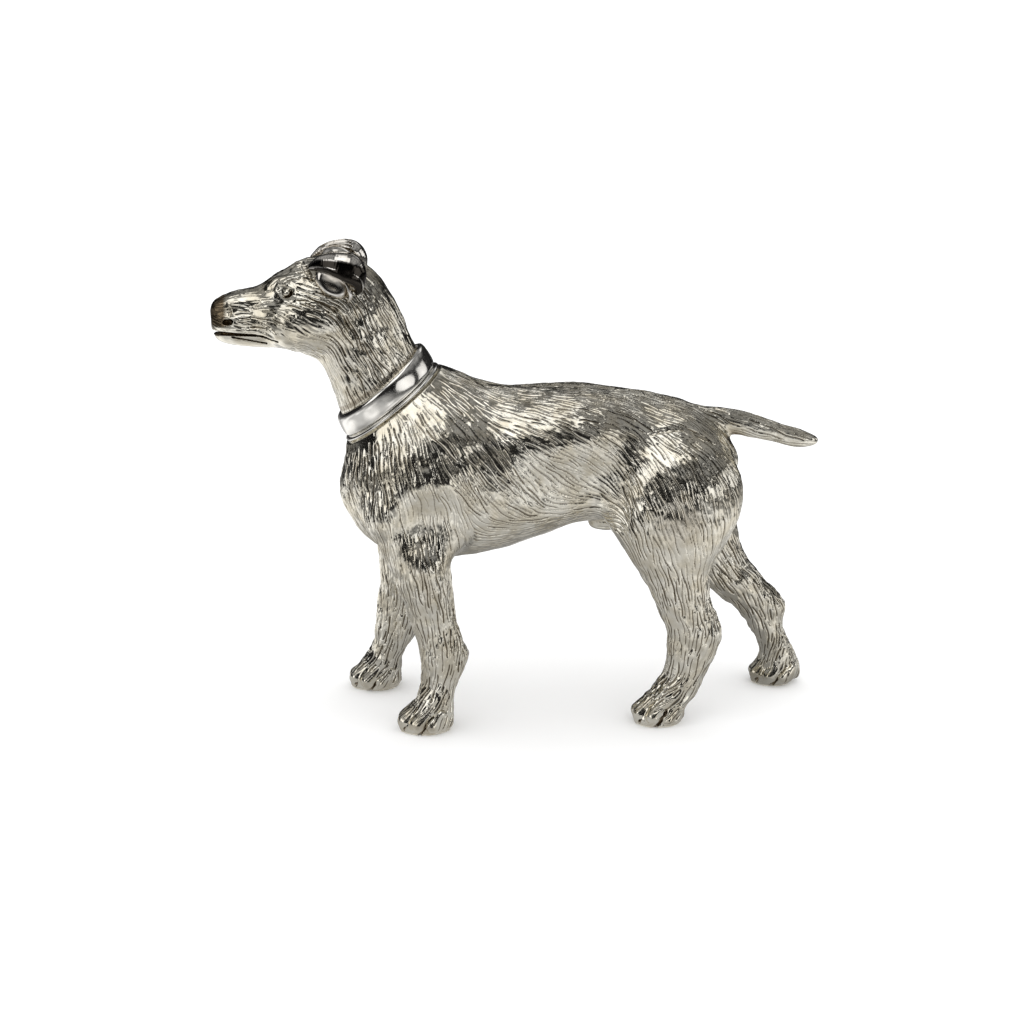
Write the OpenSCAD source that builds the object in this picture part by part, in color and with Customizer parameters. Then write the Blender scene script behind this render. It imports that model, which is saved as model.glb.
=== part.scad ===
// Standing terrier in cast silver, made of soldered castings.
// The dog faces -X, its left side is -Y, and it stands on z = 0.

/* [Figure] */
// Length from the nose to the tip of the tail
figure_length = 99; // [60:1:150]
// Width of the body against its normal width
fullness = 1; // [0.9:0.01:1.1]
// Sideways distance from the middle to each fore paw
fore_stance = 10.8; // [10:0.1:12]
// Sideways distance from the middle to each hind paw
hind_stance = 9.4; // [9:0.1:11]

/* [Castings] */
// Wall of the hollow body
shell_wall = 2.2; // [1.6:0.1:3]
// Diameter of the dowels that locate the legs
leg_dowel_d = 2.4; // [1.6:0.1:2.8]
// Length of the leg dowels
leg_dowel_length = 7; // [5:0.5:8]
// Diameter of the dowel that locates the neck
neck_dowel_d = 5; // [3:0.5:6]
// Length of the neck dowel
neck_dowel_length = 8; // [6:0.5:9]
// Diameter of the peg cast on the tail
tail_peg_d = 2.2; // [1.6:0.1:2.4]
// Space between a dowel and its hole, filled by solder
solder_gap = 0.05; // [0.03:0.01:0.08]

/* [Collar] */
// Thickness of the collar strap
strap_thickness = 0.8; // [0.6:0.1:1]
// How far the lower wire stands out of the strap
wire_proud = 0.5; // [0.3:0.1:0.7]

/* [Fineness] */
// Points around the body
body_points = 36; // [24:4:40]
// Points around a leg, the tail or an ear
limb_points = 24; // [16:4:28]
// Rings between two neighbouring ribs
rings_per_rib = 3; // [2:1:4]

/* [Hidden] */

DRAWN_LENGTH = 99;
grow = figure_length / DRAWN_LENGTH;
SILVER = [0.86, 0.84, 0.80];
POLISHED = [0.93, 0.93, 0.92];
PATINA = [0.62, 0.58, 0.53];

// A rib is one cross-section, drawn on the side view of the dog:
// [x, z of its lower or front end, x, z of its upper or back end, middle in y, half width].
TORSO = [
    [-28.1, 46.0, -12.5, 58.5, 0, 8.9],
    [-28.6, 42.5, -9.2, 57.2, 0, 10.6],
    [-29.2, 38.5, -6.0, 55.9, 0, 12.0],
    [-27.6, 34.0, -2.6, 55.1, 0, 12.6],
    [-23.0, 28.6, 1.0, 54.9, 0, 12.8],
    [-14.0, 26.7, 4.0, 54.8, 0, 12.8],
    [-4.5, 27.7, 7.0, 54.7, 0, 12.4],
    [3.0, 30.0, 10.0, 54.7, 0, 11.6],
    [9.5, 32.2, 13.5, 54.6, 0, 10.6],
    [15.0, 32.6, 18.0, 54.2, 0, 10.2],
    [20.5, 33.0, 23.0, 53.2, 0, 10.4],
    [26.0, 33.4, 28.0, 51.8, 0, 10.2],
    [31.0, 35.2, 31.6, 49.6, 0, 8.4],
    [34.0, 37.8, 34.2, 46.8, 0, 5.6],
    [35.8, 40.6, 35.8, 44.2, 0, 2.4],
    [36.3, 42.0, 36.3, 42.6, 0, 0.3]
];
CAVITY_FIRST = 3;
CAVITY_LAST = 11;

SHOULDER_LEFT = [
    [-14.5, 52.6, -11.5, 53.4, -6.8, 1.0],
    [-18.6, 48.6, -7.6, 50.6, -7.4, 3.8],
    [-22.0, 43.6, -5.4, 45.6, -7.6, 5.4],
    [-24.4, 38.0, -5.6, 39.6, -7.8, 6.0],
    [-24.0, 33.6, -7.6, 34.0, -8.6, 5.6],
    [-22.4, 29.6, -10.6, 29.6, -9.4, 4.7]
];
SHOULDER_RIGHT = [
    [-14.5, 52.6, -11.5, 53.4, -6.8, 1.0],
    [-18.6, 48.6, -7.6, 50.6, -7.4, 3.8],
    [-22.6, 43.6, -6.0, 45.6, -7.6, 5.4],
    [-25.4, 38.0, -6.8, 39.6, -7.8, 6.0],
    [-25.6, 33.6, -9.4, 34.0, -8.6, 5.6],
    [-24.6, 29.6, -12.8, 29.6, -9.4, 4.7]
];
FORE_SEAM_LEFT = [-20.6, 26.0, -11.9, 26.0, -9.8, 4.1];
FORE_SEAM_RIGHT = [-23.0, 26.0, -14.2, 26.0, -9.8, 4.1];

FORE_LEG_LEFT = [
    [-18.9, 21.6, -11.2, 21.4, 3.6],
    [-17.6, 17.2, -10.3, 16.8, 3.2],
    [-16.8, 13.6, -8.9, 12.4, 3.2],
    [-16.4, 10.4, -9.4, 10.0, 3.0],
    [-16.3, 7.6, -10.8, 7.2, 2.9],
    [-17.2, 5.2, -11.4, 4.8, 3.1],
    [-19.4, 3.2, -11.4, 2.8, 3.6],
    [-21.3, 1.4, -11.5, 1.0, 3.7],
    [-20.9, 0.0, -11.9, 0.0, 3.5]
];
FORE_LEG_RIGHT = [
    [-22.9, 21.6, -14.8, 21.4, 3.6],
    [-23.1, 17.2, -15.6, 16.8, 3.2],
    [-23.5, 13.6, -15.8, 12.4, 3.2],
    [-23.9, 10.4, -16.9, 10.0, 3.0],
    [-24.3, 7.6, -18.6, 7.2, 2.9],
    [-25.6, 5.2, -19.4, 4.8, 3.2],
    [-28.0, 3.2, -19.6, 2.8, 3.6],
    [-29.3, 1.4, -19.7, 1.0, 3.7],
    [-28.9, 0.0, -20.1, 0.0, 3.5]
];

HAUNCH_LEFT = [
    [19.0, 49.4, 27.0, 49.8, -6.6, 1.0],
    [14.8, 44.6, 32.4, 46.2, -7.2, 4.4],
    [13.2, 39.6, 35.8, 41.6, -7.6, 5.8],
    [13.8, 34.8, 35.8, 35.8, -8.0, 6.0],
    [16.0, 31.0, 33.4, 31.4, -8.4, 5.4]
];
HIND_SEAM_LEFT = [18.4, 27.4, 31.0, 27.4, -8.8, 4.7];
HIND_LEG_LEFT = [
    [20.5, 23.4, 30.6, 23.6, 4.1],
    [22.6, 19.4, 31.3, 19.4, 3.6],
    [24.1, 15.8, 32.8, 15.4, 3.2],
    [24.3, 12.8, 32.2, 11.8, 3.0],
    [23.9, 9.6, 30.3, 8.4, 2.8],
    [22.4, 6.4, 28.8, 5.0, 3.1],
    [20.2, 3.6, 27.4, 2.8, 3.5],
    [17.6, 1.4, 26.8, 1.0, 3.7],
    [18.0, 0.0, 26.4, 0.0, 3.5]
];

HAUNCH_RIGHT = [
    [19.0, 49.4, 27.0, 49.8, -6.6, 1.0],
    [15.6, 44.4, 32.6, 46.4, -7.2, 4.4],
    [14.6, 39.0, 36.0, 41.6, -7.6, 5.8],
    [16.6, 33.6, 37.8, 37.0, -8.0, 6.0],
    [21.0, 28.6, 37.2, 32.0, -8.4, 5.4]
];
HIND_SEAM_RIGHT = [26.0, 23.6, 38.0, 27.0, -8.8, 4.7];
HIND_LEG_RIGHT = [
    [30.6, 19.8, 39.6, 22.8, 4.1],
    [35.0, 16.2, 42.6, 18.8, 3.6],
    [38.8, 12.8, 46.3, 14.4, 3.1],
    [40.7, 9.8, 46.3, 10.6, 2.8],
    [42.2, 7.2, 47.2, 7.6, 2.8],
    [42.4, 5.0, 48.6, 5.2, 3.1],
    [40.9, 3.0, 49.2, 3.0, 3.6],
    [39.8, 1.4, 48.9, 1.2, 3.7],
    [40.2, 0.0, 47.6, 0.0, 3.5]
];

TAIL_SEAM = [35.8, 46.4, 33.8, 50.9, 0, 2.3];
TAIL_ROOT = [
    [26.0, 46.0, 26.0, 50.0, 0, 2.0],
    [30.0, 46.4, 30.0, 51.0, 0, 2.5],
    TAIL_SEAM
];
TAIL_PEG_LENGTH = 4;
TAIL = [
    TAIL_SEAM,
    [38.6, 46.0, 38.8, 49.8, 0, 2.0],
    [43.2, 44.8, 43.6, 48.0, 0, 1.7],
    [46.8, 44.2, 47.2, 46.9, 0, 1.4],
    [48.9, 44.6, 49.1, 46.0, 0, 0.8],
    [49.5, 45.1, 49.5, 45.5, 0, 0.2]
];

HEAD = [
    [-49.5, 66.2, -49.5, 66.8, 0, 0.3],
    [-49.4, 64.8, -49.4, 68.2, 0, 1.3],
    [-48.4, 63.2, -48.2, 69.8, 0, 2.5],
    [-46.2, 62.5, -45.4, 70.9, 0, 3.2],
    [-43.4, 62.2, -42.0, 71.8, 0, 3.9],
    [-41.0, 62.0, -38.2, 74.2, 0, 5.0],
    [-38.8, 61.9, -33.8, 76.4, 0, 6.4],
    [-36.6, 61.6, -28.6, 77.2, 0, 7.1],
    [-34.4, 61.0, -24.2, 75.0, 0, 7.2],
    [-32.2, 59.8, -20.9, 71.0, 0, 7.1],
    [-30.6, 56.6, -18.6, 66.6, 0, 7.2]
];
COLLAR_TOP = [-28.8, 51.2, -16.5, 61.7, 0, 7.4];
// How far the neck's foot stands in from the edge of the body
NECK_SHOULDER = 1.2;
EAR = [
    [-34.4, 76.2, -34.5, 76.8, -6.0, 0.3],
    [-32.2, 73.6, -32.6, 76.8, -6.6, 1.2],
    [-29.2, 71.2, -29.6, 77.8, -7.4, 1.6],
    [-26.2, 70.8, -26.6, 77.6, -7.8, 1.4],
    [-24.6, 73.0, -24.8, 75.8, -7.6, 0.5]
];
EAR_ROOT = [-29.4, -6.6, 75.2];
EAR_ROOT_SIZE = [3.0, 2.2, 2.2];

// Outline of a collar band in section, as a share of its thickness
BAND_BULGE = [0, 0.7, 1, 1, 0.7, 0];
// Share of the collar's height that is the lower wire
WIRE_SHARE = 0.2;

// Catmull-Rom curve through whole ribs.
function at(list, i) = list[max(0, min(len(list) - 1, i))];
function curve(a, b, c, d, t) =
    0.5 * (2 * b + (c - a) * t + (2 * a - 5 * b + 4 * c - d) * t * t + (3 * b - a - 3 * c + d) * t * t * t);
function smooth_ribs(ribs) = [
    for (i = [0:len(ribs) - 2])
        for (k = [0:rings_per_rib - 1])
            curve(at(ribs, i - 1), ribs[i], ribs[i + 1], at(ribs, i + 2), k / rings_per_rib),
    ribs[len(ribs) - 1]
];

// One ring of points on a rib.
function ring(rib, points) = [
    for (k = [0:points - 1])
        let (turn = 360 * k / points)
        [
            (rib[0] + rib[2]) / 2 + (rib[2] - rib[0]) / 2 * cos(turn),
            rib[4] + rib[5] * sin(turn),
            (rib[1] + rib[3]) / 2 + (rib[3] - rib[1]) / 2 * cos(turn)
        ]
];

// A leg's ribs step outwards from the seam to the paw.
function leg_ribs(seam, ribs, stance) = concat(
    [seam],
    [
        for (i = [0:len(ribs) - 1])
            let (reach = (i + 1) / len(ribs), r = ribs[i])
            [r[0], r[1], r[2], r[3], seam[4] - (stance + seam[4]) * reach, r[4]]
    ]
);

function widened(ribs) = [for (r = ribs) [r[0], r[1], r[2], r[3], r[4], r[5] * fullness]];

// The same rib with its outline moved in by a wall, or out by a negative one.
function inset(rib, wall) =
    let (
        dx = rib[2] - rib[0],
        dz = rib[3] - rib[1],
        size = sqrt(dx * dx + dz * dz),
        ux = dx / size * wall,
        uz = dz / size * wall
    )
    [rib[0] + ux, rib[1] + uz, rib[2] - ux, rib[3] - uz, rib[4], rib[5] - wall];

function seam_middle(rib) = [(rib[0] + rib[2]) / 2, rib[4], (rib[1] + rib[3]) / 2];
function seam_slope(rib) = -atan2(rib[3] - rib[1], rib[2] - rib[0]);

// A closed skin through rings that all have the same number of points.
module skin(rings) {
    n = len(rings[0]);
    last = len(rings) - 1;
    points = [for (r = rings) each r];
    sides = [
        for (i = [0:last - 1])
            for (k = [0:n - 1])
                let (next = (k + 1) % n)
                [i * n + k, i * n + next, (i + 1) * n + next, (i + 1) * n + k]
    ];
    first_cap = [for (k = [n - 1:-1:0]) k];
    last_cap = [for (k = [0:n - 1]) last * n + k];
    polyhedron(points, concat(sides, [first_cap, last_cap]), convexity = 6);
}

module loft(ribs, points) {
    skin([for (r = smooth_ribs(ribs)) ring(r, points)]);
}

// Overlapping shapes that leave the mould as one piece.
module cast_in_one() {
    resize([0, 0, 0]) union() children();
}

// A straight round bar through the middle of a seam, square to it.
module seam_bar(seam, d, length) {
    translate(seam_middle(seam))
        rotate([0, seam_slope(seam), 0])
            cylinder(d = d, h = length, center = true, $fn = 32);
}

module mirror_side(side) {
    if (side == "left") children();
    else mirror([0, 1, 0]) children();
}

module side_half(side) {
    mirror_side(side)
        translate([-60, -30, 0])
            cube([120, 30, 90]);
}

module body_cavity() {
    loft([for (i = [CAVITY_FIRST:CAVITY_LAST]) inset(widened(TORSO)[i], shell_wall)], body_points);
}

// One half of the body, with its shoulder and its haunch.
module torso_shell(side, shoulder, haunch, fore_seam, hind_seam) {
    cast_in_one() difference() {
        intersection() {
            union() {
                loft(widened(TORSO), body_points);
                loft(TAIL_ROOT, limb_points);
                mirror_side(side) {
                    loft(concat(shoulder, [fore_seam]), limb_points);
                    loft(concat(haunch, [hind_seam]), limb_points);
                }
            }
            side_half(side);
        }
        body_cavity();
        mirror_side(side) {
            seam_bar(fore_seam, leg_dowel_d + 2 * solder_gap, leg_dowel_length + 2 * solder_gap);
            seam_bar(hind_seam, leg_dowel_d + 2 * solder_gap, leg_dowel_length + 2 * solder_gap);
        }
        seam_bar(TORSO[0], neck_dowel_d + 2 * solder_gap, neck_dowel_length + 2 * solder_gap);
        tail_peg(solder_gap);
    }
}

module torso_left_shell() {
    color(SILVER)
        torso_shell("left", SHOULDER_LEFT, HAUNCH_LEFT, FORE_SEAM_LEFT, HIND_SEAM_LEFT);
}

module torso_right_shell() {
    color(SILVER)
        torso_shell("right", SHOULDER_RIGHT, HAUNCH_RIGHT, FORE_SEAM_RIGHT, HIND_SEAM_RIGHT);
}

module leg(side, seam, ribs, stance) {
    color(SILVER)
        mirror_side(side)
            cast_in_one() difference() {
                loft(leg_ribs(seam, ribs, stance), limb_points);
                seam_bar(seam, leg_dowel_d + 2 * solder_gap, leg_dowel_length + 2 * solder_gap);
            }
}

module fore_leg_left() {
    leg("left", FORE_SEAM_LEFT, FORE_LEG_LEFT, fore_stance);
}

module fore_leg_right() {
    leg("right", FORE_SEAM_RIGHT, FORE_LEG_RIGHT, fore_stance);
}

module hind_leg_left() {
    leg("left", HIND_SEAM_LEFT, HIND_LEG_LEFT, hind_stance);
}

module hind_leg_right() {
    leg("right", HIND_SEAM_RIGHT, HIND_LEG_RIGHT, hind_stance);
}

module dowel(side, seam) {
    color(PATINA)
        mirror_side(side)
            seam_bar(seam, leg_dowel_d, leg_dowel_length);
}

module dowel_fore_left() {
    dowel("left", FORE_SEAM_LEFT);
}

module dowel_fore_right() {
    dowel("right", FORE_SEAM_RIGHT);
}

module dowel_hind_left() {
    dowel("left", HIND_SEAM_LEFT);
}

module dowel_hind_right() {
    dowel("right", HIND_SEAM_RIGHT);
}

module dowel_neck() {
    color(PATINA)
        seam_bar(TORSO[0], neck_dowel_d, neck_dowel_length);
}

module tail_peg(gap) {
    translate(seam_middle(TAIL_SEAM))
        rotate([0, seam_slope(TAIL_SEAM), 0])
            translate([0, 0, -1])
                cylinder(d = tail_peg_d + 2 * gap, h = TAIL_PEG_LENGTH + 1 + gap, $fn = 32);
}

module tail() {
    color(SILVER)
        cast_in_one() {
            loft(TAIL, limb_points);
            tail_peg(0);
        }
}

function neck_foot() = inset(widened([TORSO[0]])[0], NECK_SHOULDER);

module head_casting() {
    loft(concat(HEAD, [COLLAR_TOP, neck_foot()]), body_points);
}

module head_and_neck() {
    color(SILVER)
        cast_in_one() difference() {
            head_casting();
            seam_bar(TORSO[0], neck_dowel_d + 2 * solder_gap, neck_dowel_length + 2 * solder_gap);
        }
}

// The folded ear, with a root that is filed to the side of the head.
module ear(side) {
    color(POLISHED)
        mirror_side(side)
            cast_in_one() difference() {
                union() {
                    loft(EAR, limb_points);
                    translate(EAR_ROOT)
                        scale(EAR_ROOT_SIZE)
                            sphere(r = 1, $fn = 20);
                }
                head_casting();
            }
}

module ear_left() {
    ear("left");
}

module ear_right() {
    ear("right");
}

// The neck's outline at a share of the collar's height.
function neck_at(rise) = neck_foot() * (1 - rise) + COLLAR_TOP * rise;

// A band round the neck between two heights, with rounded outer edges.
module collar_band(low, high, thickness) {
    steps = len(BAND_BULGE) - 1;
    outer = [
        for (i = [0:steps])
            ring(inset(neck_at(high + (low - high) * i / steps), -thickness * BAND_BULGE[i] - 0.05), body_points)
    ];
    inner = [
        for (i = [steps:-1:0])
            ring(neck_at(high + (low - high) * i / steps), body_points)
    ];
    torus_skin(concat(outer, inner));
}

// A skin whose last ring closes on its first.
module torus_skin(rings) {
    n = len(rings[0]);
    m = len(rings);
    points = [for (r = rings) each r];
    sides = [
        for (i = [0:m - 1])
            for (k = [0:n - 1])
                let (next = (k + 1) % n, above = (i + 1) % m)
                [i * n + k, i * n + next, above * n + next, above * n + k]
    ];
    polyhedron(points, sides, convexity = 6);
}

module collar_strap() {
    color(POLISHED)
        collar_band(WIRE_SHARE, 1, strap_thickness);
}

module collar_wire() {
    color(POLISHED)
        collar_band(0, WIRE_SHARE, strap_thickness + wire_proud);
}

scale(grow) {
    torso_left_shell();
    torso_right_shell();
    head_and_neck();
    ear_left();
    ear_right();
    collar_strap();
    collar_wire();
    tail();
    fore_leg_left();
    fore_leg_right();
    hind_leg_left();
    hind_leg_right();
    dowel_fore_left();
    dowel_fore_right();
    dowel_hind_left();
    dowel_hind_right();
    dowel_neck();
}
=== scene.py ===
"""Cast silver terrier with a polished collar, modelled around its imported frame.

The dog is sculpted as one distance field in millimetres, meshed once, cut with its fur, and then
parted along the planes where the real castings are soldered.
"""

import math

import bpy
import numpy as np
import openvdb as vdb
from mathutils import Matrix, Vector


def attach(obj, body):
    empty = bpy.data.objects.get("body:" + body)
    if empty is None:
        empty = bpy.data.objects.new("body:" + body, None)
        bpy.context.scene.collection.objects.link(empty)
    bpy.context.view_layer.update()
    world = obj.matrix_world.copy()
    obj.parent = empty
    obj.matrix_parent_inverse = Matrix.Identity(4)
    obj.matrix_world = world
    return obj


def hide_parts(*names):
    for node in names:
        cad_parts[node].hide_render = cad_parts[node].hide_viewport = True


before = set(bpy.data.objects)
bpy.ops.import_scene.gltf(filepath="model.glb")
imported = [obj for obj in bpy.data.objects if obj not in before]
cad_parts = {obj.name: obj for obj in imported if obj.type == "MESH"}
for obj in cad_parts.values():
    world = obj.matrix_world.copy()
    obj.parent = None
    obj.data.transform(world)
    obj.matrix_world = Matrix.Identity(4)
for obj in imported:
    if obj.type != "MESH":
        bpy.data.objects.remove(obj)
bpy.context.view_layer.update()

MM = 0.001
STEP = 0.125  # grid step of the sculpt, mm
EAR_STEP = 0.1
FAR = 6.0  # value of the field away from the figure, mm
LOW = np.array([-51.0, -16.0, -1.5])
HIGH = np.array([51.0, 16.0, 80.5])

# ---- ribs, mm
# A rib is one cross-section, drawn on the side view:
# [x, z of its lower or front end, x, z of its upper or back end, middle in y, half width].
TORSO = [
    [-28.1, 46.0, -12.5, 58.5, 0, 8.9],
    [-28.6, 42.5, -9.2, 57.2, 0, 10.6],
    [-29.2, 38.5, -6.0, 55.9, 0, 12.0],
    [-27.6, 34.0, -2.6, 55.1, 0, 12.6],
    [-23.0, 28.6, 1.0, 54.9, 0, 12.8],
    [-14.0, 26.7, 4.0, 54.8, 0, 12.8],
    [-4.5, 27.7, 7.0, 54.7, 0, 12.4],
    [3.0, 30.0, 10.0, 54.7, 0, 11.6],
    [9.5, 32.2, 13.5, 54.6, 0, 10.6],
    [15.0, 32.6, 18.0, 54.2, 0, 10.2],
    [20.5, 33.0, 23.0, 53.2, 0, 10.4],
    [26.0, 33.4, 28.0, 51.8, 0, 10.2],
    [31.0, 35.2, 31.6, 49.6, 0, 8.4],
    [34.0, 37.8, 34.2, 46.8, 0, 5.6],
    [35.8, 40.6, 35.8, 44.2, 0, 2.4],
    [36.3, 42.0, 36.3, 42.6, 0, 0.3],
]
FORE = [
    # left leg: x and x, right leg: x and x, then z, z, distance from the middle and half width
    [-14.5, -11.5, -14.5, -11.5, 52.6, 53.4, 6.8, 1.0],
    [-18.6, -7.6, -18.6, -7.6, 48.6, 50.6, 7.4, 3.8],
    [-22.0, -5.4, -22.6, -6.0, 43.6, 45.6, 7.6, 5.4],
    [-24.4, -5.6, -25.4, -6.8, 38.0, 39.6, 7.8, 6.0],
    [-24.0, -7.6, -25.6, -9.4, 33.6, 34.0, 8.6, 5.6],
    [-22.4, -10.6, -24.6, -12.8, 29.6, 29.6, 9.4, 4.7],
    [-20.6, -11.9, -23.0, -14.2, 26.0, 26.0, 9.8, 4.1],
    [-18.9, -11.2, -22.9, -14.8, 21.6, 21.4, 9.9, 3.6],
    [-17.6, -10.3, -23.1, -15.6, 17.2, 16.8, 10.0, 3.2],
    [-16.8, -8.9, -23.5, -15.8, 13.6, 12.4, 10.1, 3.2],
    [-16.4, -9.4, -23.9, -16.9, 10.4, 10.0, 10.2, 3.0],
    [-16.3, -10.8, -24.3, -18.6, 7.6, 7.2, 10.4, 2.9],
    [-17.2, -11.4, -25.6, -19.4, 5.2, 4.8, 10.5, 3.1],
    [-18.6, -11.4, -27.0, -19.6, 3.2, 2.8, 10.6, 3.3],
    [-20.0, -11.5, -28.2, -19.7, 1.4, 1.0, 10.7, 3.4],
    [-20.0, -11.9, -28.2, -20.1, 0.0, -0.2, 10.8, 3.4],
    [-19.6, -12.3, -27.8, -20.5, -1.0, -1.2, 10.8, 3.2],
]
FORE_LEFT = [[a, low, b, high, -out, half] for a, b, _, _, low, high, out, half in FORE]
FORE_RIGHT = [[a, low, b, high, out, half] for _, _, a, b, low, high, out, half in FORE]
HIND_LEFT = [
    [19.0, 49.4, 27.0, 49.8, -6.6, 1.0],
    [14.8, 44.6, 32.4, 46.2, -7.2, 4.4],
    [13.2, 39.6, 35.8, 41.6, -7.6, 5.8],
    [13.8, 34.8, 35.8, 35.8, -8.0, 6.0],
    [16.0, 31.0, 33.4, 31.4, -8.4, 5.4],
    [18.4, 27.4, 31.0, 27.4, -8.8, 4.7],
    [20.5, 23.4, 30.6, 23.6, -8.9, 4.1],
    [22.6, 19.4, 31.3, 19.4, -8.9, 3.6],
    [24.1, 15.8, 32.8, 15.4, -9.0, 3.2],
    [24.3, 12.8, 32.2, 11.8, -9.1, 3.0],
    [23.9, 9.6, 30.3, 8.4, -9.1, 2.8],
    [22.4, 6.4, 28.8, 5.0, -9.2, 3.1],
    [20.6, 3.6, 27.4, 2.8, -9.3, 3.3],
    [18.8, 1.4, 26.8, 1.0, -9.3, 3.4],
    [18.8, 0.0, 26.4, -0.2, -9.4, 3.4],
    [19.2, -1.0, 26.0, -1.2, -9.4, 3.2],
]
HIND_RIGHT = [
    [19.0, 49.4, 27.0, 49.8, 6.6, 1.0],
    [15.6, 44.4, 32.6, 46.4, 7.2, 4.4],
    [14.6, 39.0, 36.0, 41.6, 7.6, 5.8],
    [16.6, 33.6, 37.8, 37.0, 8.0, 6.0],
    [21.0, 28.6, 37.2, 32.0, 8.4, 5.4],
    [26.0, 23.6, 38.0, 27.0, 8.8, 4.7],
    [30.6, 19.8, 39.6, 22.8, 8.9, 4.1],
    [35.0, 16.2, 42.6, 18.8, 8.9, 3.6],
    [38.8, 12.8, 46.3, 14.4, 9.0, 3.1],
    [40.7, 9.8, 46.3, 10.6, 9.1, 2.8],
    [42.2, 7.2, 47.2, 7.6, 9.1, 2.8],
    [42.4, 5.0, 48.6, 5.2, 9.2, 3.1],
    [41.9, 3.0, 49.2, 3.0, 9.3, 3.3],
    [40.9, 1.4, 48.9, 1.2, 9.3, 3.4],
    [41.0, 0.0, 47.6, -0.2, 9.4, 3.4],
    [41.4, -1.0, 47.0, -1.2, 9.4, 3.2],
]
LEGS = (FORE_LEFT, FORE_RIGHT, HIND_LEFT, HIND_RIGHT)
TAIL = [
    [26.0, 46.0, 26.0, 50.0, 0, 2.0],
    [30.0, 46.4, 30.0, 51.0, 0, 2.5],
    [35.0, 46.6, 34.4, 50.9, 0, 2.3],
    [38.6, 46.0, 38.8, 49.8, 0, 2.0],
    [43.2, 44.8, 43.6, 48.0, 0, 1.7],
    [46.8, 44.2, 47.2, 46.9, 0, 1.4],
    [48.9, 44.6, 49.1, 46.0, 0, 0.8],
    [49.5, 45.1, 49.5, 45.5, 0, 0.2],
]
HEAD = [
    [-49.4, 66.2, -49.4, 66.8, 0, 0.3],
    [-49.2, 64.8, -49.3, 68.2, 0, 1.6],
    [-48.2, 63.2, -48.0, 69.8, 0, 2.6],
    [-46.2, 62.5, -45.4, 70.9, 0, 3.2],
    [-43.4, 62.2, -42.0, 71.8, 0, 3.9],
    [-41.0, 62.0, -38.2, 74.2, 0, 5.0],
    [-38.8, 61.9, -33.8, 76.4, 0, 6.4],
    [-36.6, 61.6, -28.6, 77.2, 0, 7.1],
    [-34.4, 61.0, -24.2, 75.0, 0, 7.2],
    [-32.2, 59.8, -20.9, 71.0, 0, 7.1],
    [-30.6, 56.6, -18.6, 66.6, 0, 7.2],
    [-28.8, 51.2, -16.5, 61.7, 0, 7.4],
    [-27.2, 46.7, -13.4, 57.8, 0, 7.8],
    [-26.0, 43.5, -10.5, 55.0, 0, 8.0],
]
EAR_ROLL = [
    [-32.9, -5.6, 76.1, 0.5],
    [-31.6, -6.2, 76.7, 1.0],
    [-30.2, -6.8, 76.9, 1.45],
    [-28.6, -7.2, 76.8, 1.9],
    [-27.1, -7.4, 76.4, 2.15],
    [-26.1, -7.5, 75.5, 1.8],
    [-25.6, -7.5, 74.3, 1.25],
    [-25.5, -7.5, 73.2, 0.8],
    [-25.8, -7.4, 72.2, 0.3],
]
EAR_RIM = [
    [-32.0, -6.4, 75.0, 0.2],
    [-30.6, -7.0, 75.2, 0.22],
    [-28.7, -7.7, 74.8, 0.25],
    [-27.5, -8.0, 73.4, 0.32],
    [-26.8, -7.8, 71.8, 0.36],
    [-27.2, -7.2, 70.8, 0.25],
]

# Solder seams: a point on each and the way out of the body, mm.
NECK_SEAM = ((-20.3, 0, 52.25), (-0.625, 0, 0.781))
TAIL_SEAM = ((34.7, 0, 48.7), (0.914, 0, 0.406))
FORE_SEAM = ((0, 0, 26.0), (0, 0, -1))
HIND_SEAM_LEFT = ((25, 0, 27.4), (0, 0, -1))
HIND_SEAM_RIGHT = ((32.0, 0, 25.3), (0.2726, 0, -0.9621))


# ---- distance field
class Field:
    """Signed distances on a regular grid, negative inside, in millimetres."""

    def __init__(self, low, high, step):
        self.step = step
        self.first = np.floor(np.asarray(low) / step).astype(int)
        last = np.ceil(np.asarray(high) / step).astype(int)
        self.values = np.full(last - self.first + 1, FAR, np.float32)

    def part(self, low, high):
        """The slice of the grid inside a box, and open coordinate arrays over it."""
        size = np.array(self.values.shape)
        a = np.clip(np.floor(np.asarray(low) / self.step).astype(int) - self.first, 0, size - 1)
        b = np.clip(np.ceil(np.asarray(high) / self.step).astype(int) - self.first + 1, 1, size)
        axes = [(np.arange(a[i], b[i]) + self.first[i]) * self.step for i in range(3)]
        x, y, z = (v.astype(np.float32) for v in axes)
        where = tuple(slice(a[i], b[i]) for i in range(3))
        return where, x[:, None, None], y[None, :, None], z[None, None, :]

    def sample(self, points):
        """Trilinear reading at points, mm."""
        g = points / self.step - self.first
        size = np.array(self.values.shape)
        base = np.clip(np.floor(g).astype(int), 0, size - 2)
        t = np.clip(g - base, 0, 1)
        out = np.zeros(len(points))
        for corner in range(8):
            o = np.array([(corner >> i) & 1 for i in range(3)])
            w = np.prod(np.where(o, t, 1 - t), axis=1)
            i = base + o
            out += w * self.values[i[:, 0], i[:, 1], i[:, 2]]
        return out

    def slope(self, points):
        """Unit gradient at points."""
        g = np.empty_like(points)
        for axis in range(3):
            d = np.zeros(3)
            d[axis] = self.step
            g[:, axis] = self.sample(points + d) - self.sample(points - d)
        return g / np.maximum(np.linalg.norm(g, axis=1, keepdims=True), 1e-9)


def join_smooth(a, b, blend):
    h = np.maximum(blend - np.abs(a - b), 0) / blend
    return np.minimum(a, b) - h * h * blend / 4


def cut_smooth(a, b, blend):
    return -join_smooth(-a, b, blend)


def curve(a, b, c, d, t):
    return 0.5 * (2 * b + (c - a) * t + (2 * a - 5 * b + 4 * c - d) * t**2 + (3 * b - a - 3 * c + d) * t**3)


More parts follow.
